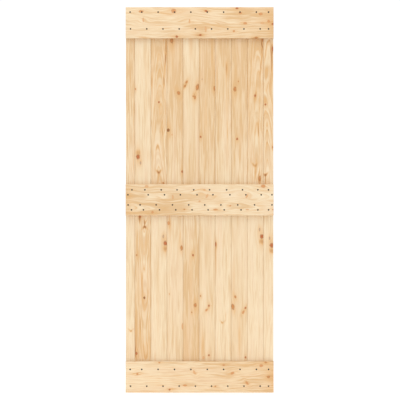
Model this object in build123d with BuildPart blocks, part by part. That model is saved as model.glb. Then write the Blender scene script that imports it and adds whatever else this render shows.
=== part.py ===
"""Ledged barn door leaf: tongue-and-groove boards in two halves, screwed to three rails.

Millimetres. The origin is at the middle of the leaf's foot: +X to the right as the front is
seen, +Y to the back, +Z up. The rails are on the front, at -Y.
"""

import os

from build123d import *

# The leaf.
door_height = 2085.0
meeting_gap = 1.0  # between the ends of the upper and lower boards, behind the middle rail

# The boards, from left to right: a narrow one, the full ones, a narrow one.
board_thickness = 18.0
board_cover = 87.0  # face of a full board, from seam to seam
full_boards = 8
left_board_width = 48.0
right_board_width = 54.0
seam_gap = 0.4  # left between two neighbouring boards
vee_depth = 2.0  # chamfer along each side of a seam, front and back
outer_arris = 0.8  # chamfer along the outer edges of the two narrow boards

# The tongue-and-groove joint in each seam.
tongue_length = 6.0
tongue_thickness = 5.0
tongue_nose = 0.8  # chamfer along the tongue's tip
tongue_clearance = 0.3  # between tongue and groove, on each face
tongue_end_gap = 0.8  # between the tongue's tip and the groove's floor

# The rails.
rail_height = 169.0
rail_thickness = 20.0
rail_overhang = 1.0  # the rails stand past the boards by this at each end
rail_arris = 1.5  # chamfer along the rails' front edges

# The countersunk screws. There are eighty of them, so each round section of a screw and of its
# holes has only a few flats, and its diameter is measured across them.
flat_count = 8
head_diameter = 8.0
head_sink = 0.3  # the heads lie this far under the rail's face
shank_diameter = 3.0
point_length = 5.0
point_cover = 2.7  # board left behind each screw's point

# Their holes: the room round the shank and under the point.
rail_hole_room = 0.7
pilot_hole_room = 0.1
pilot_end_room = 0.8

# How far the rows of screws lie from their rail's upper or lower edge.
top_rail_upper_row = 27.0
top_rail_lower_row = 51.0
middle_rail_outer_row = 30.3
middle_rail_inner_row = 57.2
bottom_rail_upper_row = 43.5
bottom_rail_lower_row = 35.0

# The top and bottom rails have an even row and a second row, set over to the right. Their screws
# lie this far from the left seam of the first full board, and a little more with each board,
# because the drilling template's pitch is wider than a board.
even_row_inset = 37.8
even_row_creep = 1.6
second_row_inset = 65.2
second_row_creep = 0.6

# The middle rail's screws go in slanting pairs, set by hand, so the first screw of each pair has
# its own distance from the board's left seam. The second one is pair_step further right.
upper_pair_insets = (55.0, 56.0, 55.0, 58.0, 57.0, 62.0, 61.0, 57.0)
lower_pair_insets = (29.0, 29.0, 30.0, 31.0, 31.0, 31.0, 35.0, 39.0)
pair_step = 18.0

# The screws in the two narrow boards: how far from the leaf's left edge and from its right edge.
even_row_ends = (23.0, 26.2)
second_row_ends = (25.2, 26.2)
upper_pair_ends = (33.0, 26.5)
upper_pair_second_ends = (11.2, 7.8)
lower_pair_ends = (12.2, 7.8)
lower_pair_second_ends = (30.4, 26.3)

# Worked out from these.
inner_width = full_boards * board_cover
panel_width = left_board_width + inner_width + right_board_width
rail_length = panel_width + 2 * rail_overhang
panel_left = -panel_width / 2
panel_right = panel_width / 2
seams = [panel_left + left_board_width + n * board_cover for n in range(full_boards + 1)]

leaf_thickness = board_thickness + rail_thickness
rail_face_y = -leaf_thickness / 2
board_face_y = rail_face_y + rail_thickness
board_middle_y = board_face_y + board_thickness / 2

board_length = (door_height - meeting_gap) / 2
lower_half_z = 0.0
upper_half_z = door_height - board_length
top_rail_z = door_height - rail_height
middle_rail_z = (door_height - rail_height) / 2
bottom_rail_z = 0.0

rail_face = Plane.XZ.offset(-rail_face_y)
board_face = Plane.XZ.offset(-board_face_y)

groove_width = tongue_thickness + 2 * tongue_clearance
groove_depth = tongue_length - seam_gap + tongue_end_gap

screw_length = leaf_thickness - head_sink - point_cover
countersink_diameter = head_diameter + 2 * head_sink  # at the rail's face, with sides at 45 degrees
rail_hole_diameter = shank_diameter + 2 * rail_hole_room
pilot_hole_diameter = shank_diameter + 2 * pilot_hole_room
pilot_hole_depth = board_thickness - point_cover + pilot_end_room


def row_across(insets, ends):
    """X of one screw in each board, from each full board's left seam and the leaf's two edges."""
    inner = [seams[n] + insets[n % len(insets)] for n in range(full_boards)]
    return [panel_left + ends[0], *inner, panel_right - ends[1]]


def template_row(first, creep):
    return [first + n * creep for n in range(full_boards)]


def second_of_pairs(insets):
    return [inset + pair_step for inset in insets]


even_row = row_across(template_row(even_row_inset, even_row_creep), even_row_ends)
second_row = row_across(template_row(second_row_inset, second_row_creep), second_row_ends)

# Each row of screws: the rail it goes through, its height, and X of each screw.
rows = {
    "top_rail_screws_upper_row": (
        "top_rail",
        top_rail_z + rail_height - top_rail_upper_row,
        even_row,
    ),
    "top_rail_screws_lower_row": (
        "top_rail",
        top_rail_z + top_rail_lower_row,
        second_row,
    ),
    "middle_rail_screws_row_1": (
        "middle_rail",
        middle_rail_z + rail_height - middle_rail_outer_row,
        row_across(upper_pair_insets, upper_pair_ends),
    ),
    "middle_rail_screws_row_2": (
        "middle_rail",
        middle_rail_z + rail_height - middle_rail_inner_row,
        row_across(second_of_pairs(upper_pair_insets), upper_pair_second_ends),
    ),
    "middle_rail_screws_row_3": (
        "middle_rail",
        middle_rail_z + middle_rail_inner_row,
        row_across(lower_pair_insets, lower_pair_ends),
    ),
    "middle_rail_screws_row_4": (
        "middle_rail",
        middle_rail_z + middle_rail_outer_row,
        row_across(second_of_pairs(lower_pair_insets), lower_pair_second_ends),
    ),
    "bottom_rail_screws_upper_row": (
        "bottom_rail",
        bottom_rail_z + rail_height - bottom_rail_upper_row,
        even_row,
    ),
    "bottom_rail_screws_lower_row": (
        "bottom_rail",
        bottom_rail_z + bottom_rail_lower_row,
        second_row,
    ),
}


def round_section(diameter):
    """One round section of a screw or a screw hole."""
    RegularPolygon(diameter / 2, flat_count, major_radius=False)


def make_headed_shank(top_diameter, shank_diameter, length):
    """A countersunk head and its shank at the origin, from the head's face at Z 0 down.

    The head is a plate with a chamfer as wide as the head all round its underside, and the part
    of the plate above the chamfer is cut off.
    """
    head_height = (top_diameter - shank_diameter) / 2
    with BuildPart() as form:
        with BuildSketch():
            round_section(top_diameter)
        extrude(amount=head_height, both=True)
        chamfer(form.faces().sort_by(Axis.Z)[0].edges(), head_height)
        split(bisect_by=Plane.XY, keep=Keep.BOTTOM)
        extrude(form.faces().sort_by(Axis.Z)[0], amount=length - head_height)
    return form.part


def make_board(name, left, right, foot):
    """One board, from left to right on the leaf, with a pilot hole for each screw that meets it."""
    has_groove = left > panel_left
    has_tongue = right < panel_right
    face_left = left + (seam_gap / 2 if has_groove else 0)
    face_right = right - (seam_gap / 2 if has_tongue else 0)
    reach = pilot_hole_diameter
    pilots = [
        (x, z)
        for _, z, places in rows.values()
        for x in places
        if left - reach < x < right + tongue_length + reach
        and foot - reach < z < foot + board_length + reach
    ]
    with BuildPart() as board:
        with BuildSketch(Plane.XY.offset(foot)) as section:
            with Locations((face_left, board_middle_y)):
                Rectangle(face_right - face_left, board_thickness, align=(Align.MIN, Align.CENTER))
            corners = section.vertices().sort_by(Axis.X)
            chamfer(corners[:2], vee_depth if has_groove else outer_arris)
            chamfer(corners[2:], vee_depth if has_tongue else outer_arris)
            if has_tongue:
                with Locations((face_right, board_middle_y)):
                    Rectangle(tongue_length, tongue_thickness, align=(Align.MIN, Align.CENTER))
                chamfer(section.vertices().group_by(Axis.X)[-1], tongue_nose)
            if has_groove:
                with Locations((face_left, board_middle_y)):
                    Rectangle(
                        groove_depth,
                        groove_width,
                        align=(Align.MIN, Align.CENTER),
                        mode=Mode.SUBTRACT,
                    )
        extrude(amount=board_length)
        with BuildSketch(board_face):
            with Locations(*pilots):
                round_section(pilot_hole_diameter)
        extrude(amount=-pilot_hole_depth, mode=Mode.SUBTRACT)
    board.part.label = name
    return board.part


def make_rail(name, foot):
    """One rail, with its front edges eased and its countersunk holes."""
    holes = [(x, z) for owner, z, places in rows.values() if owner == name for x in places]
    hole = make_headed_shank(countersink_diameter, rail_hole_diameter, rail_thickness)
    with BuildPart() as rail:
        with BuildSketch(rail_face):
            with Locations((0, foot)):
                Rectangle(rail_length, rail_height, align=(Align.CENTER, Align.MIN))
        extrude(amount=-rail_thickness)
        chamfer(rail.faces().sort_by(Axis.Y)[0].edges(), rail_arris)
        with Locations(rail_face):
            with Locations(*holes):
                add(hole, mode=Mode.SUBTRACT)
    rail.part.label = name
    return rail.part


def make_screw():
    """One screw at the origin, its head's face at Z 0 and its point down."""
    with BuildPart() as screw:
        add(make_headed_shank(head_diameter, shank_diameter, screw_length - point_length))
        loft([screw.faces().sort_by(Axis.Z)[0], Vertex(0, 0, -screw_length)], ruled=True)
    return screw.part


def make_screw_row(name, height, places, screw):
    """A row of screws, their heads sunk into their rail."""
    with BuildPart() as row:
        with Locations(rail_face.offset(-head_sink)):
            with Locations(*((x, height) for x in places)):
                add(screw)
    row.part.label = name
    return row.part


def make_half(name, foot):
    """The boards of one half, from left to right."""
    edges = [panel_left, *seams, panel_right]
    return [
        make_board(f"{name}_board_{n:02d}", left, right, foot)
        for n, (left, right) in enumerate(zip(edges, edges[1:]), start=1)
    ]


screw = make_screw()
pieces = [
    *make_half("upper", upper_half_z),
    *make_half("lower", lower_half_z),
    make_rail("top_rail", top_rail_z),
    make_rail("middle_rail", middle_rail_z),
    make_rail("bottom_rail", bottom_rail_z),
    *(make_screw_row(name, z, places, screw) for name, (_, z, places) in rows.items()),
]

os.makedirs("parts", exist_ok=True)
for piece in pieces:
    export_step(piece, f"parts/{piece.label}.step")
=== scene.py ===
import math

import bmesh
import bpy
from mathutils import Matrix, Vector


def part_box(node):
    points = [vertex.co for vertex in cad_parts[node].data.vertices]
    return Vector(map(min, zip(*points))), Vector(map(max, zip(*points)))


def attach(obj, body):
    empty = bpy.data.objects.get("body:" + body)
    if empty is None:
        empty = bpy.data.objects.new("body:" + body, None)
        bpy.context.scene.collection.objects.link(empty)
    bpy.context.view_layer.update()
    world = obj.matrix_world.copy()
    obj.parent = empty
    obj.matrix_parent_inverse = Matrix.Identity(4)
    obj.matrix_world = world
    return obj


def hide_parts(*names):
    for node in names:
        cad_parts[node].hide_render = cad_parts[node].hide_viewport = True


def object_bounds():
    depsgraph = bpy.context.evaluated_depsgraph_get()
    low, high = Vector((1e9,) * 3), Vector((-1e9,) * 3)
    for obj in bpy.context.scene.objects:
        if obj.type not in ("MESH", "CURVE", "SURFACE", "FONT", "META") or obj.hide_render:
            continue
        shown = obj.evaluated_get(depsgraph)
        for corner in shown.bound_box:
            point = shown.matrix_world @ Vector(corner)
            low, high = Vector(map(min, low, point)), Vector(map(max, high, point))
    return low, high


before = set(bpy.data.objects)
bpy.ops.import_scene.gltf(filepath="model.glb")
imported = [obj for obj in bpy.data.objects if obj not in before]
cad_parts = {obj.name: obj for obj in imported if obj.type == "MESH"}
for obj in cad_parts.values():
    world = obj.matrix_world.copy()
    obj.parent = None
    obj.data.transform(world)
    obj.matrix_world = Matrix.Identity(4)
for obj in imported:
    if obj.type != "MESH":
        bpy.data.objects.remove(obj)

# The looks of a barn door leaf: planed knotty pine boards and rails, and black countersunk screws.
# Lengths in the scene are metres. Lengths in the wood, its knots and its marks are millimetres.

cad_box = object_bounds()

MM = 0.001
BODY = "root"

# The rows of screws that go through each rail.
SCREW_ROWS = {
    "top_rail": ("top_rail_screws_upper_row", "top_rail_screws_lower_row"),
    "middle_rail": tuple(f"middle_rail_screws_row_{n}" for n in (1, 2, 3, 4)),
    "bottom_rail": ("bottom_rail_screws_upper_row", "bottom_rail_screws_lower_row"),
}

# Turns a form that stands along Z so that its top looks out of the leaf's front.
TOWARDS_FRONT = Matrix.Rotation(math.radians(90), 4, "X")


# Shader maths

class Value:
    """A number, colour or vector on its way through a material."""

    def __init__(self, shader, socket):
        self.shader = shader
        self.socket = socket

    def math(self, operation, *others):
        return self.shader.math(operation, self, *others)

    def __add__(self, other):
        return self.math("ADD", other)

    def __sub__(self, other):
        return self.math("SUBTRACT", other)

    def __mul__(self, other):
        return self.math("MULTIPLY", other)

    def __truediv__(self, other):
        return self.math("DIVIDE", other)

    def __pow__(self, other):
        return self.math("POWER", other)

    __radd__ = __add__
    __rmul__ = __mul__

    def __rsub__(self, other):
        return self.shader.math("SUBTRACT", other, self)

    def __rtruediv__(self, other):
        return self.shader.math("DIVIDE", other, self)

    def __rpow__(self, other):
        return self.shader.math("POWER", other, self)

    def vector_math(self, operation, *others, output="Vector"):
        sockets = dict(enumerate((self, *others)))
        return self.shader.add("ShaderNodeVectorMath", {"operation": operation}, sockets, output)

    def ease(self, start, end, low=0.0, high=1.0):
        """Goes smoothly from low to high as the value goes from start to end."""
        return self.shader.add(
            "ShaderNodeMapRange",
            {"interpolation_type": "SMOOTHSTEP"},
            {"Value": self, "From Min": start, "From Max": end, "To Min": low, "To Max": high},
            "Result",
        )


class Shader:
    """The nodes of one material, or of the world."""

    def __init__(self, owner):
        self.owner = owner
        owner.use_nodes = True
        self.tree = owner.node_tree
        self.tree.nodes.clear()

    def add(self, kind, settings=None, sockets=None, output=0):
        """A node of that kind. Its settings are set first, and then its sockets."""
        node = self.tree.nodes.new(kind)
        for name, setting in (settings or {}).items():
            if name == "stops":
                set_stops(node.color_ramp, setting)
            else:
                setattr(node, name, setting)
        for name, value in (sockets or {}).items():
            if isinstance(value, Value):
                self.tree.links.new(value.socket, node.inputs[name])
            else:
                node.inputs[name].default_value = value
        return Value(self, node.outputs[output]) if node.outputs else node

    def math(self, operation, *terms):
        return self.add("ShaderNodeMath", {"operation": operation}, dict(enumerate(terms)))

    def mix(self, factor, first, second, blend="MIX"):
        settings = {"data_type": "RGBA", "blend_type": blend, "clamp_factor": True}
        return self.add("ShaderNodeMix", settings, {0: factor, 6: first, 7: second}, 2)

    def noise(self, vector, scale=1.0, detail=2.0, roughness=0.5):
        sockets = {"Vector": vector, "Scale": scale, "Detail": detail, "Roughness": roughness}
        return self.add("ShaderNodeTexNoise", {}, sockets, "Fac")

    def noise_along(self, number, scale, detail=2.0):
        sockets = {"W": number, "Scale": scale, "Detail": detail, "Roughness": 0.5}
        return self.add("ShaderNodeTexNoise", {"noise_dimensions": "1D"}, sockets, "Fac")

    def place(self):
        """Where a point lies in its object, in metres."""
        return self.add("ShaderNodeTexCoord", {}, {}, "Object")

    def point(self, x, y, z):
        return self.add("ShaderNodeCombineXYZ", {}, {"X": x, "Y": y, "Z": z})

    def parts_of(self, vector):
        return [self.add("ShaderNodeSeparateXYZ", {}, {"Vector": vector}, axis) for axis in "XYZ"]

    def ramp(self, factor, stops):
        return self.add("ShaderNodeValToRGB", {"stops": stops}, {"Fac": factor})

    def bump(self, height, strength, distance):
        sockets = {"Strength": strength, "Distance": distance, "Height": height}
        return self.add("ShaderNodeBump", {}, sockets)

    def finish(self, sockets):
        """Ends the material in one Principled surface."""
        surface = self.add("ShaderNodeBsdfPrincipled", {}, sockets)
        self.add("ShaderNodeOutputMaterial", {}, {"Surface": surface})
        return self.owner


def new_shader(name):
    return Shader(bpy.data.materials.new(name))


def set_stops(ramp, stops):
    """Gives a ramp its stops, each a place with a level or a colour."""
    while len(ramp.elements) < len(stops):
        ramp.elements.new(1.0)
    for element, (position, stop) in zip(ramp.elements, stops):
        element.position = position
        element.color = (stop, stop, stop, 1.0) if isinstance(stop, float) else stop


def tint(red, green, blue):
    """A colour from its screen values, 0 to 255."""
    linear = [((c / 255 + 0.055) / 1.055) ** 2.4 for c in (red, green, blue)]
    return (*linear, 1.0)


def blend(first, second):
    """The colour half-way between two."""
    return tuple((a + b) / 2 for a, b in zip(first, second))


# The wood's colours

CREAM = tint(250, 232, 199)
HONEY = tint(228, 192, 145)
AMBER = tint(229, 178, 115)
RUSSET = tint(176, 118, 70)
ROSY = tint(240, 206, 172)
FIBRE = tint(196, 176, 150)
END_GRAIN = tint(214, 172, 124)
# Grey for painted shade on the sides of the seams and on the rails' upper and lower edges.
SEAM_AND_EDGE_SHADE = tint(214, 202, 188)
# Each kind of knot: its inside, its rim, and how much resin lies round it.
KNOT_KINDS = {
    "red": (tint(198, 118, 70), tint(160, 86, 46), 0.8),
    "brown": (tint(211, 146, 88), tint(170, 105, 54), 0.75),
    "dark": (tint(164, 106, 58), tint(120, 74, 36), 0.9),
    "orange": (tint(220, 158, 104), tint(198, 132, 80), 0.4),
    "pale": (tint(228, 178, 128), tint(214, 160, 112), 0.2),
    "grey": (tint(204, 168, 138), tint(172, 136, 108), 0.4),
}


# Knots and resin marks

class Knot:
    """A knot: its place in its piece, its radius, its kind, how much longer than wide, its turn.

    The turn is in degrees, as it is for a streak.
    """

    def __init__(self, across, along, size, kind="red", stretch=1.3, turn=0.0):
        self.across = across
        self.along = along
        self.size = size
        self.inside, self.rim, self.halo = KNOT_KINDS[kind]
        self.stretch = stretch
        self.turn = math.radians(turn)

    def rings(self):
        """The colours of its own rings, from its heart to its rim."""
        inside, rim = self.inside, self.rim
        between = blend(inside, rim)
        return (
            (0.05, rim), (0.2, inside), (0.42, inside), (0.5, between), (0.6, inside), (0.95, rim),
        )


class Streak:
    """A soft resinous mark that runs with the grain. Past a strength of 1 it turns russet."""

    def __init__(self, across, along, width, length, strength, turn=0.0):
        self.across = across
        self.along = along
        self.width = width
        self.length = length
        self.strength = strength
        self.turn = math.radians(turn)


def curl(across, along, size, wings=1, stem=-1, strength=1.0):
    """The winged mark of a branch cut lengthways. Wings and stem go up (1) or down (-1)."""
    rise = wings * size * 0.55
    marks = [Streak(across, along, size * 0.7, size * 0.6, strength * 1.4)]
    for side in (-1, 1):
        beside = across + side * size * 0.75
        slant = side * wings * -42
        marks.append(Streak(beside, along + rise, size * 0.42, size * 1.1, strength, slant))
    if stem:
        foot = along + stem * size * 2.2
        marks.append(Streak(across, foot, size * 0.3, size * 2.2, strength * 0.9))
    return marks


def squares_from(point, mark, width, length):
    """How far a point is from a mark's middle, in its widths and its lengths, each squared."""
    cosine, sine = math.cos(mark.turn), math.sin(mark.turn)
    crossways = Vector((cosine, sine, 0)) / width
    lengthways = Vector((-sine, cosine, 0)) / length
    middle = Vector((mark.across, mark.along, 0))
    u = point.vector_math("DOT_PRODUCT", tuple(crossways), output="Value") - crossways.dot(middle)
    v = point.vector_math("DOT_PRODUCT", tuple(lengthways), output="Value") - lengthways.dot(middle)
    return u * u, v * v


def fading(distance_squared):
    """1 in the middle of a mark, fading outwards, to about 1 / e at a distance of 1."""
    return 0.3679 ** distance_squared


# Pine

# Round a knot the grain is pushed aside: how far that reaches across and along the grain, in the
# knot's radius, and by what share the grain moves.
SWIRL_WIDTH = 2.4
SWIRL_LENGTH = 6.5
SWIRL_PUSH = 0.85
# A knot leans across its piece by this for each millimetre of depth, and along it by twice that.
LEAN = 0.12

# How far the pith lies in front of a piece, and the length over which it wanders.
PITH_IN_FRONT = 30.0
WANDER_LENGTH = 420.0
# The width and length of the waves in the rings.
WAVE_WIDTH, WAVE_LENGTH = 60.0, 190.0
# The rings lie closer and wider by turns: by how many rings, and over what distance.
CROWDING, CROWDING_LENGTH = 2.2, 17.0
# How dark each ring is from its start to its end.
LATE_WOOD = ((0.0, 0.25), (0.12, 0.0), (0.55, 0.16), (0.9, 1.0), (1.0, 0.25))

# The bands and streaks in the grain: their width across the rings and their length.
BAND = (13.0, 260.0)
BROAD_BAND = (30.0, 380.0)
SHORT_STREAK = (6.0, 150.0)
# Fibres in a millimetre across and along the grain.
FIBRES_ACROSS, FIBRES_ALONG = 1.3, 0.018

# How strongly the bands show in the wood's tone, its rosy tint and its resin.
BAND_TONE = 0.5
BROAD_BAND_TONE = 0.32
ROSY_SHARE = 0.3
BAND_RESIN = 0.3
# How much amber the resin gives at most, and from what share and how fast it turns russet.
AMBER_MOST = 0.85
RUSSET_START, RUSSET_GAIN = 0.85, 0.8
# How much the fibres darken the wood, and how much they vary it.
FIBRE_SHADE, FIBRE_CONTRAST = 0.12, 0.35
# How strongly the end grain shows, and how grey the sides of a seam and a rail's edges are, as
# painted shade.
END_SHARE = 0.5
SEAM_SHADE_SHARE, RAIL_EDGE_SHADE_SHARE = 0.12, 0.7


class Pine:
    """The pine of one piece, between its corners low and high, in metres.

    The odd factors of the seed, and the odd steps of the lot, only set each noise apart.
    """

    def __init__(self, name, grain, low, high, runs_upward):
        self.shader = new_shader(name)
        self.grain = grain
        self.runs_upward = runs_upward
        size = (Vector(high) - Vector(low)) / MM
        self.width, self.length = (size.x, size.z) if runs_upward else (size.z, size.x)
        from_corner = self.shader.place().vector_math("SUBTRACT", tuple(low))
        in_mm = from_corner.vector_math("MULTIPLY", (1 / MM,) * 3)
        x, self.depth, z = self.shader.parts_of(in_mm)
        self.across, self.along = (x, z) if runs_upward else (z, x)

    def material(self):
        self.bend_round_knots()
        self.grow_rings()
        self.draw_bands()
        colour = self.toned()
        colour = self.with_resin(colour)
        colour = self.with_knots(colour)
        colour = self.with_end_grain_and_painted_shade(colour)
        return self.shader.finish({
            "Base Color": colour,
            "Roughness": self.late_wood * -0.08 + 0.6,
            "IOR": 1.45,
            "Specular IOR Level": 0.35,
            "Normal": self.shader.bump(self.late_wood * 0.5 + self.fibre * 0.8, 0.25, 0.4 * MM),
        })

    def bend_round_knots(self):
        """Round each knot the grain is pushed aside and holds more resin."""
        face = self.shader.point(
            self.across + self.depth * LEAN, self.along + self.depth * (LEAN * 2), 0.0
        )
        self.bent = self.across
        self.resin = 0.0
        self.from_knots = []
        for knot in self.grain["knots"]:
            aside, ahead = squares_from(face, knot, knot.size, knot.size * knot.stretch)
            self.from_knots.append((aside, ahead))
            reach = ahead * (knot.stretch / SWIRL_LENGTH) ** 2
            near = fading(aside.math("MULTIPLY_ADD", 1 / SWIRL_WIDTH**2, reach))
            push = (self.across - knot.across) * near
            self.bent = push.math("MULTIPLY_ADD", -SWIRL_PUSH, self.bent)
            self.resin = near.math("MULTIPLY_ADD", knot.halo, self.resin)

    def grow_rings(self):
        """Growth rings round the pith, which wanders along the piece."""
        shader, grain, seed = self.shader, self.grain, self.grain["seed"]
        slow = shader.noise_along(self.along + seed * 977.0, 1 / WANDER_LENGTH, 1.0)
        wave = shader.noise(shader.point(
            self.across / WAVE_WIDTH, self.along / WAVE_LENGTH, self.depth / WAVE_WIDTH + seed * 7.3
        ))
        pith = self.glue_staves()
        aside = self.bent + (slow - 0.5) * grain["wander"] + (wave - 0.5) * grain["wave"] - pith
        behind = (
            self.depth
            + (self.along - self.length * grain["apex"]) * grain["tilt"]
            + (slow - 0.5) * (grain["wander"] * 0.6)
            + (wave - 0.5) * (grain["wave"] * 0.5)
            + PITH_IN_FRONT
        )
        self.radius = (aside * aside + behind * behind).math("SQRT")
        crowding = shader.noise_along(self.radius + seed * 131.0, 1 / CROWDING_LENGTH)
        rings = self.radius / grain["ring"] + crowding * CROWDING
        self.late_wood = shader.ramp(rings.math("FRACT"), LATE_WOOD)

    def glue_staves(self):
        """Where the pith lies across the piece. A rail is glued from two staves, each its own."""
        grain = self.grain
        pith = self.width / 2 + grain["pith_aside"]
        self.lot = grain["seed"] * 3.1
        self.tone = (self.along / self.length - 0.5) * grain["fade"] + grain["pale"]
        if grain["glue_line"]:
            upper_stave = self.across.math("GREATER_THAN", grain["glue_line"])
            pith = upper_stave * grain["stave_shift"] + pith
            self.lot = upper_stave * 17.3 + self.lot
            self.tone = upper_stave * grain["stave_tone"] + self.tone
        return pith

    def streaky(self, size, lot, detail, roughness=0.5):
        """Noise drawn out along the grain, of that width across the rings and that length."""
        width, length = size
        place = self.shader.point(self.radius / width, self.along / length, lot)
        return self.shader.noise(place, detail=detail, roughness=roughness)

    def draw_bands(self):
        self.band = self.streaky(BAND, self.lot, 2.0, 0.6)
        self.broad = self.streaky(BROAD_BAND, self.lot + 5.7, 1.0)
        self.short = self.streaky(SHORT_STREAK, self.lot + 9.1, 2.0, 0.55)
        place = self.shader.point(
            self.bent * FIBRES_ACROSS,
            self.along * FIBRES_ALONG,
            self.depth * FIBRES_ACROSS + self.grain["seed"] * 11.0,
        )
        self.fibre = self.shader.noise(place, detail=3.0, roughness=0.6)

    def toned(self):
        """Honey to cream, by the piece's own tone, its bands and its short streaks."""
        tone = self.tone + (self.band.ease(0.25, 0.75) - 0.5) * BAND_TONE
        tone = tone + (self.broad.ease(0.3, 0.7) - 0.5) * BROAD_BAND_TONE
        tone = tone + (self.short.ease(0.35, 0.65) - 0.5) * self.grain["lines"]
        colour = self.shader.mix(tone, HONEY, CREAM)
        return self.shader.mix(self.broad.ease(0.4, 0.75, 0.0, ROSY_SHARE), colour, ROSY)

    def with_resin(self, colour):
        """Resin, from clear amber to russet, and the fibres over it."""
        mix = self.shader.mix
        share = (
            self.band.ease(0.54, 0.8) * BAND_RESIN
            + self.late_wood * (self.grain["contrast"] * 0.9)
            + self.short.ease(0.52, 0.72) * (self.grain["lines"] * 0.5)
        )
        line = self.short.ease(0.3, 0.65, 0.45, 1.0)
        place = self.shader.point(self.bent, self.along, 0.0)
        resin = self.resin
        for streak in self.grain["streaks"]:
            aside, ahead = squares_from(place, streak, streak.width, streak.length)
            resin = fading(aside + ahead).math("MULTIPLY_ADD", streak.strength, resin)
        share = line.math("MULTIPLY_ADD", resin, share)
        colour = mix(share.math("MINIMUM", 1.0) * AMBER_MOST, colour, AMBER)
        past = (share - RUSSET_START).math("MAXIMUM", 0.0)
        colour = mix(past * RUSSET_GAIN, colour, RUSSET)
        fibres = (self.fibre - 0.5) * FIBRE_CONTRAST + FIBRE_SHADE
        return mix(fibres, colour, FIBRE, "MULTIPLY")

    def with_knots(self, colour):
        """The knots themselves, with ragged rims."""
        place = self.shader.point(self.across / 5, self.along / 9, self.lot)
        ragged = self.shader.noise(place) - 0.5
        ragged = (self.fibre - 0.5).math("MULTIPLY_ADD", 0.25, ragged)
        for knot, (aside, ahead) in zip(self.grain["knots"], self.from_knots):
            away = (aside + ahead).math("SQRT") + ragged
            rings = self.shader.ramp(away, knot.rings())
            colour = self.shader.mix(away.ease(1.55, 0.6), colour, rings)
        return colour

    def with_end_grain_and_painted_shade(self, colour):
        """The sawn ends are darker. The rails' upper and lower edges and the sides of the seams are
        greyer: painted shade.
        """
        mix = self.shader.mix
        facing = self.shader.add("ShaderNodeTexCoord", {}, {}, "Normal")
        normal_x, normal_y, normal_z = self.shader.parts_of(facing)
        end = (normal_z if self.runs_upward else normal_x).math("ABSOLUTE").ease(0.5, 0.8)
        colour = mix(end * END_SHARE, colour, END_GRAIN, "MULTIPLY")
        # Painted shade: greys the sides of each seam on a board, and the upper and lower edges of a
        # rail.
        if self.runs_upward:
            side = (normal_x * normal_y).math("ABSOLUTE").ease(0.2, 0.45, 0.0, SEAM_SHADE_SHARE)
        else:
            # The rails' upper and lower edges: painted shade, which also deepens the shade on the
            # boards beside them.
            side = normal_z.math("ABSOLUTE").ease(0.8, 0.95, 0.0, RAIL_EDGE_SHADE_SHARE)
        return mix(side, colour, SEAM_AND_EDGE_SHADE, "MULTIPLY")


# What a piece of pine is like, unless it is told otherwise.
STRAIGHT_GRAIN = {
    "knots": (),
    "streaks": (),
    "fade": 0.0,  # how much paler it grows along its length
    "lines": 0.8,  # how strongly the short streaks show
    "contrast": 0.2,  # how much resin the late wood holds
    "ring": 3.1,  # width of a ring
    "wander": 10.0,  # how far the pith wanders
    "wave": 7.0,  # how far the rings wave
    "tilt": 0.0,  # how steeply the pith slopes towards or away from the piece
    "apex": 0.5,  # where along the piece the pith is as far off as PITH_IN_FRONT says
    "pith_aside": 95.0,  # how far the pith lies from the piece's middle line
    "glue_line": 0.0,  # where its two staves meet, or 0 for one stave
    "stave_shift": 0.0,  # how much further over the upper stave's pith lies
    "stave_tone": 0.0,  # how much paler the upper stave is
}
# Changes for a piece that was sawn over the pith, so that its grain shows as arches.
ARCHED_GRAIN = {
    "lines": 1.0,
    "contrast": 0.8,
    "ring": 4.8,
    "wander": 34.0,
    "wave": 20.0,
    "tilt": 0.035,
    "pith_aside": 4.0,
}


def straight(seed, pale, **changes):
    return {**STRAIGHT_GRAIN, **changes, "seed": seed, "pale": pale}


def arched(seed, pale, **changes):
    return {**STRAIGHT_GRAIN, **ARCHED_GRAIN, **changes, "seed": seed, "pale": pale}


# How pale a piece is, as judged, from honey at 0 to cream at 1, and how much paler it grows
# from its foot to its top or from its left end to its right end.
DEEP, WARM, LIGHT, PALE = 0.3, 0.45, 0.65, 0.85
PALER_FOOT = PALER_LEFT = -0.7
PALER_TOP = PALER_RIGHT = 0.7

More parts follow.
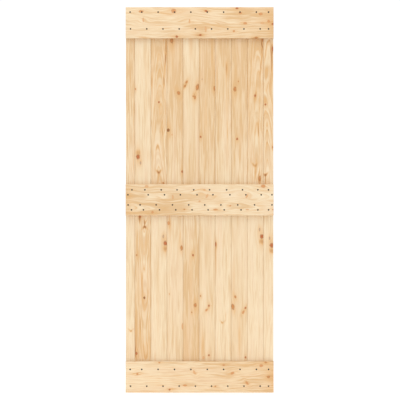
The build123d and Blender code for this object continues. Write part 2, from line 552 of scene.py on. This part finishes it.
# The boards from left to right. Places go across from a board's left edge and up from its foot,
# which for an upper board is behind the middle rail.
UPPER_BOARDS = (
    straight(
        1, WARM, fade=PALER_FOOT, lines=1.2,
        streaks=(Streak(6, 560, 3, 300, 0.5), Streak(42, 400, 3, 260, 0.4)),
    ),
    straight(
        2, PALE, lines=0.65,
        knots=(
            Knot(3, 600, 3.5, "orange"), Knot(17, 232, 9, stretch=1.25),
            Knot(31, 199, 3.5, "grey", 2.0),
        ),
        streaks=(Streak(17, 256, 7, 14, 0.5), Streak(60, 700, 6, 300, 0.3)),
    ),
    arched(
        3, WARM, fade=PALER_FOOT, pith_aside=-2.0, apex=0.35,
        knots=(Knot(43, 529, 4), Knot(67, 90, 4, "brown")),
        streaks=(
            Streak(81, 825, 4, 55, 1.6), Streak(76, 740, 3, 60, 1.0, -4),
            Streak(70, 640, 4, 80, 0.9, -4), Streak(5, 650, 3, 60, 0.9),
            Streak(62, 380, 5, 70, 0.7), *curl(42, 149, 13),
        ),
    ),
    straight(
        4, DEEP, fade=PALER_FOOT, pith_aside=70.0,
        knots=(
            Knot(7, 377, 6.5, "dark", 1.2), Knot(25, 862, 7, "brown", 1.7),
            Knot(27, 353, 3, "pale"), Knot(63, 578, 7, "brown", 1.25, 25),
            Knot(82, 153, 4, "red", 1.6),
        ),
        streaks=(Streak(30, 820, 10, 120, 0.4),),
    ),
    straight(
        5, LIGHT, fade=PALER_TOP, lines=0.4,
        knots=(
            Knot(10, 616, 4, "brown", 1.4, -30), Knot(19, 638, 4.5, "brown", 1.5, -30),
            Knot(55, 561, 3, "brown"), Knot(64, 553, 4.5, "brown", 1.8),
            Knot(78, 610, 7.5, "brown", 2.0, -12),
        ),
        streaks=(Streak(42, 850, 9, 90, 0.8), Streak(60, 500, 6, 90, 0.3)),
    ),
    straight(
        6, DEEP, fade=PALER_FOOT,
        knots=(Knot(8, 341, 4), Knot(16, 653, 2.5, "grey"), Knot(83, 603, 5, "brown", 2.2)),
        streaks=(
            Streak(70, 800, 5, 120, 0.7), Streak(82, 680, 4, 60, 0.9),
            Streak(35, 430, 8, 140, 0.35),
        ),
    ),
    straight(
        7, WARM, fade=PALER_FOOT, pith_aside=60.0,
        streaks=(
            Streak(63, 715, 6, 40, 1.15), Streak(62, 560, 5, 110, 0.5),
            Streak(66, 330, 5, 140, 0.5), Streak(8, 640, 3, 70, 0.7),
        ),
    ),
    straight(
        8, DEEP, fade=PALER_FOOT, pith_aside=80.0,
        knots=(Knot(20, 599, 7, "brown", 1.6), Knot(39, 641, 2.5, "brown"), Knot(32, 329, 4.5)),
        streaks=(Streak(24, 690, 5, 60, 0.5), Streak(50, 380, 8, 160, 0.3)),
    ),
    arched(
        9, WARM, fade=PALER_FOOT, pith_aside=6.0, apex=0.3,
        knots=(
            Knot(42, 564, 4.5, "red", 1.2), Knot(68, 117, 5, "brown", 2.6),
            Knot(84, 864, 4.5, "brown", 1.6),
        ),
        streaks=(
            Streak(80, 820, 4, 55, 1.6), Streak(73, 720, 3, 60, 1.1, -4),
            Streak(4, 600, 3, 90, 0.8), Streak(60, 400, 4, 80, 0.7), *curl(42, 185, 13),
        ),
    ),
    arched(
        10, LIGHT, fade=PALER_FOOT, pith_aside=-6.0, apex=0.2,
        knots=(
            Knot(11, 516, 4, "red", 1.2), Knot(50, 818, 4.5, "red", 2.0), Knot(50, 285, 3, "brown"),
        ),
        streaks=(
            Streak(47, 750, 4, 70, 1.5), Streak(38, 640, 3, 60, 1.0, -4),
            Streak(20, 330, 4, 90, 0.8), *curl(10, 134, 11),
        ),
    ),
)

LOWER_BOARDS = (
    straight(
        11, PALE, lines=0.65, pith_aside=50.0,
        streaks=(*curl(27, 332, 10, stem=0, strength=0.6), Streak(12, 200, 3, 120, 0.4)),
    ),
    arched(
        12, WARM, fade=PALER_TOP, pith_aside=8.0, apex=0.6, tilt=-0.035,
        knots=(
            Knot(9, 211, 5, "red", 1.4), Knot(10, 743, 3.5, "brown"), Knot(28, 951, 4.5),
            Knot(51, 512, 4.5, "dark", 1.4),
        ),
        streaks=(
            Streak(6, 320, 3, 110, 1.3), Streak(28, 330, 4, 70, 0.9), Streak(40, 600, 4, 80, 0.8),
            Streak(64, 820, 5, 50, 0.6), *curl(53, 896, 12, wings=-1, stem=1),
        ),
    ),
    straight(
        13, PALE, lines=0.65,
        knots=(Knot(67, 844, 3.5, "grey", 2.4), Knot(78, 807, 9, "red", 1.2)),
        streaks=(Streak(78, 778, 8, 14, 0.9), Streak(40, 500, 6, 300, 0.3)),
    ),
    straight(
        14, LIGHT, lines=0.65, pith_aside=70.0,
        knots=(
            Knot(9, 916, 6, "orange", 1.5), Knot(13, 533, 3, "pale"), Knot(79, 782, 6, "brown", 1.9),
            Knot(86, 357, 6, "pale", 2.6),
        ),
        streaks=(Streak(72, 850, 5, 60, 0.5), Streak(14, 880, 7, 50, 0.5)),
    ),
    straight(
        15, DEEP, fade=PALER_TOP,
        knots=(Knot(54, 743, 4.5), Knot(66, 472, 7, "brown", 1.3), Knot(47, 433, 2.5, "brown")),
        streaks=(Streak(42, 640, 8, 160, 0.5), Streak(20, 200, 12, 160, 0.4)),
    ),
    straight(
        16, LIGHT, lines=0.4,
        knots=(
            Knot(8, 522, 3, "brown"), Knot(40, 446, 4.5, "orange", 1.6, -35), Knot(53, 469, 4),
            Knot(53, 201, 4), Knot(24, 187, 5, "pale", 1.4),
        ),
        streaks=(
            Streak(20, 250, 9, 70, 0.9), Streak(60, 800, 5, 80, 0.4), Streak(62, 469, 3, 3, 0.8),
        ),
    ),
    straight(
        17, PALE, lines=0.65, pith_aside=60.0,
        knots=(Knot(1, 802, 5, "red", 2.2),),
        streaks=(
            Streak(3, 720, 4, 90, 1.2), *curl(40, 377, 10, stem=0, strength=0.65),
            Streak(56, 415, 3, 22, 0.6),
        ),
    ),
    straight(
        18, LIGHT, lines=0.4,
        knots=(
            Knot(9, 463, 7, "brown", 2.0, 10), Knot(22, 517, 4.5, "brown", 1.5, 20),
            Knot(65, 434, 4.5, "orange", 1.8, -30), Knot(77, 457, 4, "red", 1.4, -30),
            Knot(78, 189, 4),
        ),
        streaks=(Streak(45, 280, 8, 100, 0.8), Streak(14, 600, 6, 90, 0.5)),
    ),
    straight(
        19, PALE, lines=0.65,
        knots=(Knot(67, 881, 3.5, "grey", 2.4), Knot(79, 844, 9, "red", 1.15)),
        streaks=(Streak(79, 816, 8, 14, 0.9),),
    ),
    straight(
        20, PALE, lines=0.65, pith_aside=60.0,
        knots=(Knot(34, 834, 3, "grey", 2.4), Knot(45, 796, 9, "red", 1.25)),
        streaks=(Streak(45, 766, 8, 14, 0.9),),
    ),
)

# The rails. Places go up from a rail's lower edge and along it from its left end.
RAIL_WOOD = {
    "top_rail": arched(
        21, LIGHT, fade=PALER_LEFT, tilt=0.03, pith_aside=30.0, glue_line=78.0,
        stave_shift=-50.0, stave_tone=0.05, contrast=0.5, lines=1.2,
        knots=(
            Knot(146, 84, 6, "orange", 1.8), Knot(99, 95, 11, "pale", 0.35),
            Knot(148, 260, 10, "orange", 1.1), Knot(9, 277, 5.5, "red", 1.1),
            Knot(93, 345, 11, "pale", 0.35), Knot(18, 404, 4.5, "red"),
            Knot(49, 433, 14, "pale", 0.3), Knot(148, 434, 4, "red", 1.6),
            Knot(39, 585, 4.5, "orange"), Knot(163, 602, 5, "red"),
            Knot(137, 620, 5, "orange", 1.6), Knot(82, 646, 5, "orange", 1.8),
            Knot(4, 707, 4.5, "brown"), Knot(132, 730, 6, "orange", 1.6),
            Knot(82, 738, 5, "pale", 1.8), Knot(93, 773, 6, "orange", 1.0),
            Knot(78, 796, 5, "red", 1.2),
        ),
        streaks=(
            Streak(140, 200, 4, 60, 0.9), Streak(60, 520, 5, 90, 0.5), Streak(85, 812, 90, 45, 0.6),
        ),
    ),
    "middle_rail": arched(
        22, PALE, fade=PALER_RIGHT, tilt=0.028, pith_aside=-40.0, glue_line=91.0,
        stave_shift=60.0, stave_tone=0.12, contrast=0.5, lines=1.2,
        knots=(
            Knot(157, 113, 6, "pale", 1.4), Knot(18, 145, 6, "orange", 0.9),
            Knot(100, 255, 10, "pale", 0.4), Knot(33, 317, 3, "brown"),
            Knot(77, 400, 4, "pale", 1.3), Knot(139, 426, 4, "pale"),
            Knot(105, 440, 11, "pale", 0.4, 25), Knot(32, 485, 4, "orange", 2.6),
            Knot(53, 566, 3.5, "orange"), Knot(105, 656, 11, "pale", 0.4, 25),
            Knot(32, 658, 3.5, "pale", 2.4), Knot(158, 744, 8, "orange", 1.4),
            Knot(31, 797, 4, "orange"),
        ),
        streaks=(Streak(12, 60, 8, 120, 0.6), Streak(85, -10, 90, 45, 0.6)),
    ),
    "bottom_rail": arched(
        23, PALE, fade=PALER_LEFT, tilt=-0.03, pith_aside=20.0, glue_line=84.0,
        stave_shift=-44.0, stave_tone=-0.04, contrast=0.5, lines=1.2,
        knots=(
            Knot(101, 63, 5, "orange", 1.0), Knot(162, 182, 3.5, "orange"),
            Knot(16, 238, 4, "red", 1.3), Knot(39, 321, 4, "orange", 2.4),
            Knot(111, 371, 5, "pale", 1.8, 60), Knot(34, 485, 3, "brown"),
            Knot(149, 530, 4, "orange"), Knot(105, 578, 6, "orange", 1.3, -20),
            Knot(52, 656, 5, "orange", 1.7, 50), Knot(146, 733, 7, "orange", 1.2),
            Knot(163, 757, 4, "brown"), Knot(85, 772, 6, "brown", 1.2),
        ),
        streaks=(
            Streak(150, 640, 4, 70, 0.6), Streak(6, 100, 4, 120, 0.5), Streak(85, 812, 90, 45, 0.7),
        ),
    ),
}


# Boards

def dress_boards():
    for half, woods in (("upper", UPPER_BOARDS), ("lower", LOWER_BOARDS)):
        for number, grain in enumerate(woods, start=1):
            name = f"{half}_board_{number:02d}"
            low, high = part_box(name)
            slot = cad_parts[name].material_slots[0]
            slot.material = Pine(f"pine_of_{name}", grain, low, high, True).material()


# Forms

SEGMENTS = 32  # sides of a round form


def turned_form(profile):
    """A form turned about Z, from its profile of radius and height, top first."""
    mesh = bmesh.new()
    rings = []
    for radius, height in profile:
        if radius == 0:
            rings.append([mesh.verts.new((0, 0, height))])
            continue
        angles = (2 * math.pi * n / SEGMENTS for n in range(SEGMENTS))
        rings.append(
            [mesh.verts.new((radius * math.cos(a), radius * math.sin(a), height)) for a in angles]
        )
    for upper, lower in zip(rings, rings[1:]):
        for n in range(SEGMENTS):
            corners = [upper[n % len(upper)], upper[(n + 1) % len(upper)]]
            corners += [lower[(n + 1) % len(lower)], lower[n % len(lower)]]
            mesh.faces.new(dict.fromkeys(corners))
    return mesh


def copies_of(form, seats):
    """A form's copies, one at each seat, as one mesh. The form itself is used up."""
    pattern = bpy.data.meshes.new("pattern")
    form.to_mesh(pattern)
    form.free()
    together = bmesh.new()
    for seat in seats:
        start = len(together.verts)
        together.from_mesh(pattern)
        together.verts.ensure_lookup_table()
        bmesh.ops.transform(together, matrix=seat, verts=together.verts[start:])
    bpy.data.meshes.remove(pattern)
    return together


def new_object(name, mesh):
    data = bpy.data.meshes.new(name)
    bmesh.ops.recalc_face_normals(mesh, faces=mesh.faces)
    mesh.to_mesh(data)
    mesh.free()
    made = bpy.data.objects.new(name, data)
    bpy.context.scene.collection.objects.link(made)
    return made


def cut_out(target, cutter):
    """Cuts one object out of another, for good. The cut takes the cutter's material."""
    cut = target.modifiers.new("cut", "BOOLEAN")
    cut.material_mode = "TRANSFER"
    cut.object = cutter
    cut.operation = "DIFFERENCE"
    cut.solver = "EXACT"
    ready = target.evaluated_get(bpy.context.evaluated_depsgraph_get())
    whole = bpy.data.meshes.new_from_object(ready)
    target.modifiers.clear()
    target.data = whole
    bpy.data.objects.remove(cutter)


def soften(made, degrees):
    """Shades an object smooth, except at edges sharper than that."""
    made.data.shade_smooth()
    made.data.set_sharp_from_angle(angle=math.radians(degrees))


def put_in_place(piece, node):
    """Lets a piece stand for its CAD node."""
    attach(piece, BODY)
    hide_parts(node)


# Screws

HEAD_RADIUS = 4.0 * MM
HEAD_RIM = 0.25 * MM  # rounding of the head's rim
SHANK_RADIUS = 1.3 * MM
POINT_LENGTH = 5.0 * MM
CONE_FOOT = -(HEAD_RADIUS - SHANK_RADIUS)  # where the head's cone meets the shank

THREAD_RADIUS = 1.5 * MM
THREAD_PITCH = 2.0 * MM
THREAD_HALF_WIDTH = 0.35 * MM
THREAD_BELOW_CONE = 4.0 * MM
THREAD_ABOVE_TIP = 0.5 * MM
THREAD_STEPS = 16  # steps in a turn
THREAD_ROOT = 0.9  # how deep the ridge is rooted, as a share of the shank's radius

RECESS_SPAN = 4.6 * MM
RECESS_WIDTH = 1.0 * MM
RECESS_DEPTH = 1.7 * MM
RECESS_LIP = 0.3 * MM  # how far the cutter stands out of the head
RECESS_LIP_SHARE, RECESS_FLOOR_SHARE = 1.05, 0.55  # its size there and at its floor
RECESS_TURN = math.radians(37)  # from one screw of a row to the next

SCREW_SHARP_EDGE = 30  # degrees
SAME_FACE = 0.1 * MM  # corners as near as this to the heads' face lie in it


def screw_places(row):
    """The middle of each head's face in a row, and the length of the screws, from the frame."""
    corners = [v.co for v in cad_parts[row].data.vertices]
    face_y = min(c.y for c in corners)
    on_face = sorted((c for c in corners if c.y < face_y + SAME_FACE), key=lambda c: c.x)
    heads = []
    for corner in on_face:
        if not heads or corner.x - heads[-1][-1].x > HEAD_RADIUS:
            heads.append([])
        heads[-1].append(corner)
    places = [
        Vector(((h[0].x + h[-1].x) / 2, face_y, (min(c.z for c in h) + max(c.z for c in h)) / 2))
        for h in heads
    ]
    return places, max(c.y for c in corners) - face_y


def recess_cutter():
    """A cross that narrows towards its floor."""
    arm, side = RECESS_SPAN / 2, RECESS_WIDTH / 2
    quarter = ((side, arm), (side, side), (arm, side))
    outline = []
    for turn in range(4):
        cosine, sine = round(math.cos(turn * math.pi / 2)), round(math.sin(turn * math.pi / 2))
        outline += [(x * cosine + y * sine, y * cosine - x * sine) for x, y in quarter]
    mesh = bmesh.new()
    top, floor = (
        [mesh.verts.new((x * share, y * share, z)) for x, y in outline]
        for z, share in ((RECESS_LIP, RECESS_LIP_SHARE), (-RECESS_DEPTH, RECESS_FLOOR_SHARE))
    )
    mesh.faces.new(top)
    mesh.faces.new(floor[::-1])
    for n in range(len(outline)):
        mesh.faces.new((top[n], floor[n], floor[n - 1], top[n - 1]))
    return new_object("recess_cutter", mesh)


def screw_body(length):
    """A screw's head with its cross recess, its shank and its point."""
    body = new_object("screw_body", turned_form((
        (0, 0),
        (HEAD_RADIUS - HEAD_RIM, 0),
        (HEAD_RADIUS - HEAD_RIM / 3, -HEAD_RIM / 6),
        (HEAD_RADIUS - HEAD_RIM, -HEAD_RIM),
        (SHANK_RADIUS, CONE_FOOT),
        (SHANK_RADIUS, POINT_LENGTH - length),
        (0, -length),
    )))
    cut_out(body, recess_cutter())
    return body


def screw_thread(length):
    """One ridge that climbs round the shank and fades into the point."""
    mesh = bmesh.new()
    start = CONE_FOOT - THREAD_BELOW_CONE
    end = -length + THREAD_ABOVE_TIP
    steps = int((start - end) / THREAD_PITCH * THREAD_STEPS)
    before = None
    for n in range(steps + 1):
        z = start + (end - start) * n / steps
        angle = 2 * math.pi * n / THREAD_STEPS
        core = SHANK_RADIUS * min(1.0, (z + length) / POINT_LENGTH)
        ridge = core + (THREAD_RADIUS - SHANK_RADIUS) * min(1.0, n / (THREAD_STEPS / 2))
        root = core * THREAD_ROOT
        corners = [
            mesh.verts.new((radius * math.cos(angle), radius * math.sin(angle), z + lift))
            for radius, lift in ((root, THREAD_HALF_WIDTH), (ridge, 0.0), (root, -THREAD_HALF_WIDTH))
        ]
        if before:
            for upper, lower in ((0, 1), (1, 2), (2, 0)):
                mesh.faces.new((before[upper], before[lower], corners[lower], corners[upper]))
        else:
            mesh.faces.new(corners)
        before = corners
    mesh.faces.new(before[::-1])
    return new_object("screw_thread", mesh)


def screw_form(length):
    """One whole screw, its head's face at Z 0 and its point down."""
    whole = bmesh.new()
    for part in (screw_body(length), screw_thread(length)):
        whole.from_mesh(part.data)
        bpy.data.objects.remove(part)
    return whole


def black_oxide():
    """Blackened steel, a little uneven."""
    shader = new_shader("black_oxide_steel")
    place = shader.place()
    cloud = shader.noise(place, 900.0, 3.0)
    fine = shader.noise(place, 4200.0)
    return shader.finish({
        "Base Color": shader.mix(cloud.ease(0.35, 0.7), tint(16, 11, 8), tint(34, 25, 18)),
        "Metallic": 0.2,
        "Roughness": cloud * 0.2 + 0.28,
        "Specular IOR Level": 0.5,
        "Normal": shader.bump(fine, 0.2, 0.05 * MM),
    })


def dress_screws():
    steel = black_oxide()
    for rows in SCREW_ROWS.values():
        for row in rows:
            places, length = screw_places(row)
            seats = [
                Matrix.Translation(place) @ TOWARDS_FRONT @ Matrix.Rotation(n * RECESS_TURN, 4, "Z")
                for n, place in enumerate(places)
            ]
            screws = new_object(
                row.replace("screws", "black_screws"), copies_of(screw_form(length), seats)
            )
            soften(screws, SCREW_SHARP_EDGE)
            screws.data.materials.append(steel)
            put_in_place(screws, row)


# Rails

EDGE_RADIUS = 1.5 * MM
EDGE_STEPS = 4
HEAD_SINK = 0.3 * MM  # the heads lie this far under the rail's face
RAIL_HOLE_RADIUS = 2.2 * MM
RAIL_SHARP_EDGE = 35  # degrees
HOLE_LIP = 0.5 * MM  # how far the hole cutter stands out of the rail, front and back


def hole_pine_painted_shade():
    """The wood in the screw holes, dark brown: crushed wood, and painted shade of the gap round each
    head.
    """
    shader = new_shader("hole_pine_painted_shade")
    cloud = shader.noise(shader.place(), 700.0)
    return shader.finish({
        "Base Color": shader.mix(cloud.ease(0.3, 0.7), tint(40, 26, 16), tint(70, 46, 28)),
        "Roughness": 0.8,
        "Specular IOR Level": 0.2,
    })


def plank_form(low, high):
    """A rail's plank, with its front edges rounded."""
    middle = (Vector(low) + Vector(high)) / 2
    size = Vector(high) - Vector(low)
    mesh = bmesh.new()
    bmesh.ops.create_cube(mesh, size=1.0)
    box = Matrix.Translation(middle) @ Matrix.Diagonal((*size, 1))
    bmesh.ops.transform(mesh, matrix=box, verts=mesh.verts)
    front = [e for e in mesh.edges if all(v.co.y < middle.y for v in e.verts)]
    bmesh.ops.bevel(
        mesh, geom=front, offset=EDGE_RADIUS, segments=EDGE_STEPS, profile=0.5, affect="EDGES"
    )
    return mesh


def hole_cutter(rail, face_y, thickness):
    """The countersunk holes for all the screws of a rail."""
    mouth = HEAD_RADIUS + HEAD_SINK
    back = -thickness - HOLE_LIP
    hole = turned_form((
        (0, HOLE_LIP),
        (mouth + HOLE_LIP, HOLE_LIP),
        (RAIL_HOLE_RADIUS, RAIL_HOLE_RADIUS - mouth),
        (RAIL_HOLE_RADIUS, back),
        (0, back),
    ))
    seats = [
        Matrix.Translation((place.x, face_y, place.z)) @ TOWARDS_FRONT
        for row in SCREW_ROWS[rail]
        for place in screw_places(row)[0]
    ]
    return new_object("hole_cutter", copies_of(hole, seats))


def dress_rails():
    painted_hole_shade = hole_pine_painted_shade()
    for rail in sorted(SCREW_ROWS):
        low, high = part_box(rail)
        plank = new_object(rail.replace("rail", "pine_rail"), plank_form(low, high))
        pine = Pine(f"pine_of_{rail}", RAIL_WOOD[rail], low, high, False).material()
        plank.data.materials.append(pine)
        holes = hole_cutter(rail, low[1], high[1] - low[1])
        # The holes' wood carries painted shade, the dark gap round each screw head.
        holes.data.materials.append(painted_hole_shade)
        cut_out(plank, holes)
        soften(plank, RAIL_SHARP_EDGE)
        put_in_place(plank, rail)


# Floor, light and camera

FLOOR_HALF = 2.0  # half of its side
FLOOR_GLOW = 0.22
WHITE = tint(255, 255, 255)
DOME_STRENGTH = 0.9
BACKDROP_STRENGTH = 1.05

CAMERA_DISTANCE = 14.0
CAMERA_ASIDE = 0.002
CAMERA_LOWERED = 0.0008
CAMERA_CLIP = 100.0
VIEW_WIDTH = 2.1634  # what the picture shows from side to side at the leaf's front
SENSOR_WIDTH = 36.0


def lay_floor():
    mesh = bmesh.new()
    bmesh.ops.create_grid(mesh, x_segments=1, y_segments=1, size=FLOOR_HALF)
    floor = new_object("floor", mesh)
    shader = new_shader("pale_floor")
    speck = shader.noise(shader.place(), 3.0, 3.0)
    floor.data.materials.append(shader.finish({
        "Base Color": shader.mix(speck, tint(250, 250, 250), tint(246, 246, 246)),
        "Roughness": 0.8,
        "Emission Color": WHITE,
        "Emission Strength": FLOOR_GLOW,
    }))


def light_dome():
    """White light from all round, and a brighter white backdrop that only the camera sees."""
    world = bpy.data.worlds.new("studio")
    bpy.context.scene.world = world
    shader = Shader(world)
    dome, backdrop = (
        shader.add("ShaderNodeBackground", {}, {"Color": WHITE, "Strength": strength})
        for strength in (DOME_STRENGTH, BACKDROP_STRENGTH)
    )
    seen = shader.add("ShaderNodeLightPath", {}, {}, "Is Camera Ray")
    choice = shader.add("ShaderNodeMixShader", {}, {0: seen, 1: dome, 2: backdrop})
    shader.add("ShaderNodeOutputWorld", {}, {"Surface": choice})


def hang_lights():
    for name, place, target, size, power in (
        ("front_light", (0.0, -6.0, 2.6), (0.0, 0.0, 1.1), 3.0, 10.0),
        ("top_light", (0.0, -1.6, 4.5), (0.0, 0.0, 1.1), 2.0, 28.0),
        ("back_light", (0.0, 1.6, 4.5), (0.0, 0.0, 1.1), 2.0, 20.0),
    ):
        light = bpy.data.lights.new(name, "AREA")
        light.shape = "SQUARE"
        light.size = size
        light.energy = power
        lamp = bpy.data.objects.new(name, light)
        lamp.location = place
        lamp.rotation_euler = (Vector(target) - Vector(place)).to_track_quat("-Z", "Y").to_euler()
        bpy.context.scene.collection.objects.link(lamp)


def set_camera():
    """A long lens straight in front, at the middle of the leaf's height."""
    low, high = cad_box
    camera = bpy.data.cameras.new("camera")
    camera.sensor_width = SENSOR_WIDTH
    camera.lens = SENSOR_WIDTH * CAMERA_DISTANCE / VIEW_WIDTH
    camera.clip_end = CAMERA_CLIP
    holder = bpy.data.objects.new("camera", camera)
    middle_z = (low[2] + high[2]) / 2
    holder.location = (CAMERA_ASIDE, low[1] - CAMERA_DISTANCE, middle_z - CAMERA_LOWERED)
    holder.rotation_euler = (math.radians(90), 0.0, 0.0)
    bpy.context.scene.collection.objects.link(holder)
    bpy.context.scene.camera = holder


dress_boards()
dress_rails()
dress_screws()
lay_floor()
light_dome()
hang_lights()
set_camera()
bpy.context.scene.view_settings.view_transform = "Standard"
